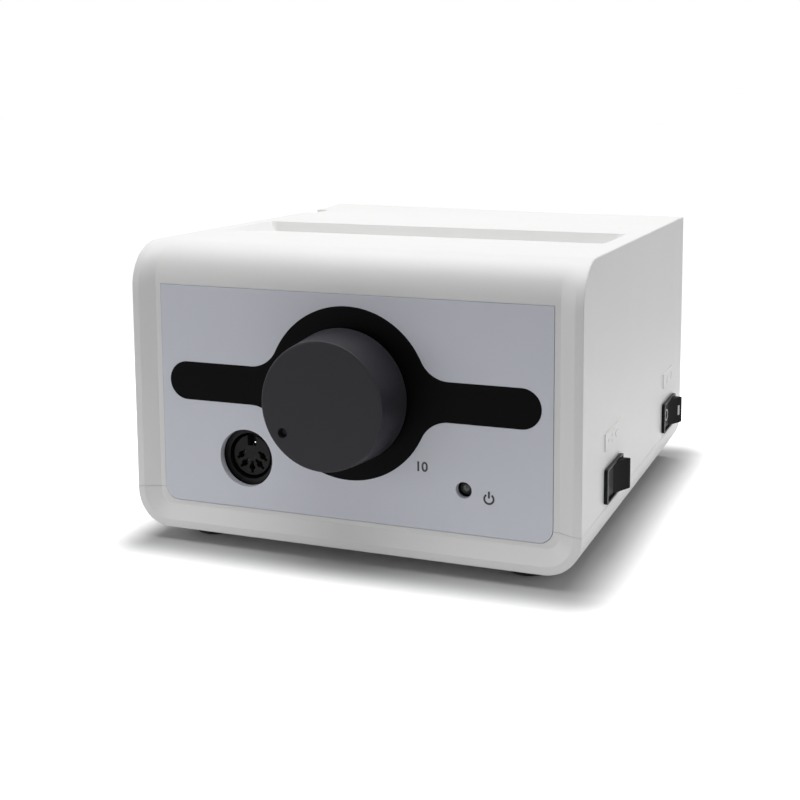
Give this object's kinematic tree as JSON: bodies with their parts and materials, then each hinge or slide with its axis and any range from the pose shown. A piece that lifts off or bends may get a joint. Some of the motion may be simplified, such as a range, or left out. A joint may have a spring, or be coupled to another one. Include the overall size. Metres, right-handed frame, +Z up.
{
  "type": "electric micromotor control unit",
  "caption": "Table-top box with a large front speed dial, a round handpiece socket, a lamp, rocker switches on the right side, a shallow handpiece trough on top and a mains inlet behind.",
  "frame": {"origin": "middle of the part's footprint, on the surface that its feet stand on", "axes": "+X to the right seen from the front, +Y from the dial at the front to the rear panel, +Z up"},
  "size_m": [0.1382, 0.1552, 0.088],
  "materials": {
    "white_housing": "satin white moulding",
    "front_plate": "satin, pale blue-grey",
    "black_film": "satin black print film",
    "foot_rubber": "matt",
    "screw_steel": "plated",
    "zinc_plate": "zinc plated",
    "core_steel": "varnished steel laminations",
    "knob_plastic": "satin dark grey",
    "black_plastic": "satin black",
    "rocker_plastic": "glossy black",
    "grey_insulator": "matt dark grey",
    "brown_phenolic": "matt",
    "contact_brass": "plain",
    "lamp_lens": "tinted, unlit",
    "board_green": "solder mask",
    "capacitor_sleeve": "shrink sleeve",
    "cream_plastic": "satin",
    "sink_aluminium": "extruded",
    "taped_copper": "copper winding under yellow tape",
    "fuse_glass": "clear"
  },
  "bodies": {
    "case": {"upper_cover": "white_housing", "lower_case": "white_housing", "rear_panel": "white_housing", "front_panel": "front_plate", "panel_film": "black_film", "foot_front_left": "foot_rubber", "foot_front_right": "foot_rubber", "foot_rear_left": "foot_rubber", "foot_rear_right": "foot_rubber", "case_screw_front_left": "screw_steel", "case_screw_front_right": "screw_steel", "case_screw_rear_left": "screw_steel", "case_screw_rear_right": "screw_steel", "pot_bush": "zinc_plate", "pot_can": "zinc_plate", "pot_wafer": "brown_phenolic", "pot_washer": "screw_steel", "pot_nut": "screw_steel", "socket_shell": "black_plastic", "socket_insulator": "grey_insulator", "socket_screw_left": "screw_steel", "socket_screw_right": "screw_steel", "power_lamp": "lamp_lens", "lamp_holder": "black_plastic", "direction_switch": "black_plastic", "power_switch": "black_plastic", "circuit_board": "board_green", "board_screw_front": "screw_steel", "board_screw_rear": "screw_steel", "filter_capacitor": "capacitor_sleeve", "bridge_rectifier": "black_plastic", "direction_relay": "black_plastic", "control_chip": "black_plastic", "plug_header": "cream_plastic", "heat_sink": "sink_aluminium", "power_transistor": "black_plastic", "transistor_screw": "screw_steel", "transformer_core": "core_steel", "transformer_bobbin": "cream_plastic", "transformer_winding": "taped_copper", "transformer_strap": "zinc_plate", "transformer_screw_left": "screw_steel", "transformer_screw_right": "screw_steel", "mains_inlet": "black_plastic", "mains_pin_neutral": "contact_brass", "mains_pin_live": "contact_brass", "mains_pin_earth": "contact_brass", "inlet_screw_left": "screw_steel", "inlet_screw_right": "screw_steel", "fuse_holder": "black_plastic", "fuse_holder_nut": "black_plastic", "fuse": "fuse_glass", "foot_jack": "zinc_plate", "foot_jack_nut": "screw_steel"},
    "speed_dial": {"speed_knob": "knob_plastic", "knob_insert": "contact_brass", "pot_shaft": "screw_steel"},
    "direction_lever": {"direction_rocker": "rocker_plastic"},
    "power_lever": {"power_rocker": "rocker_plastic"},
    "fuse_carrier": {"fuse_cap": "black_plastic"}
  },
  "joints": [
    {"name": "speed_dial_turn", "type": "hinge", "parent": "case", "child": "speed_dial", "pos_m": [-0.00188, -0.0632, 0.0477], "axis": [0, 1, 0], "range_deg": [0, 255]},
    {"name": "direction_rocker_tilt", "type": "hinge", "parent": "case", "child": "direction_lever", "pos_m": [0.06347, -0.03035, 0.02195], "axis": [0, 0, 1], "range_deg": [0, 25]},
    {"name": "power_rocker_tilt", "type": "hinge", "parent": "case", "child": "power_lever", "pos_m": [0.06347, 0.0492, 0.02195], "axis": [0, 0, 1], "range_deg": [0, 25]},
    {"name": "fuse_cap_turn", "type": "hinge", "parent": "case", "child": "fuse_carrier", "pos_m": [-0.02388, 0.072, 0.06], "axis": [0, -1, 0], "range_deg": [0, 60]}
  ]
}
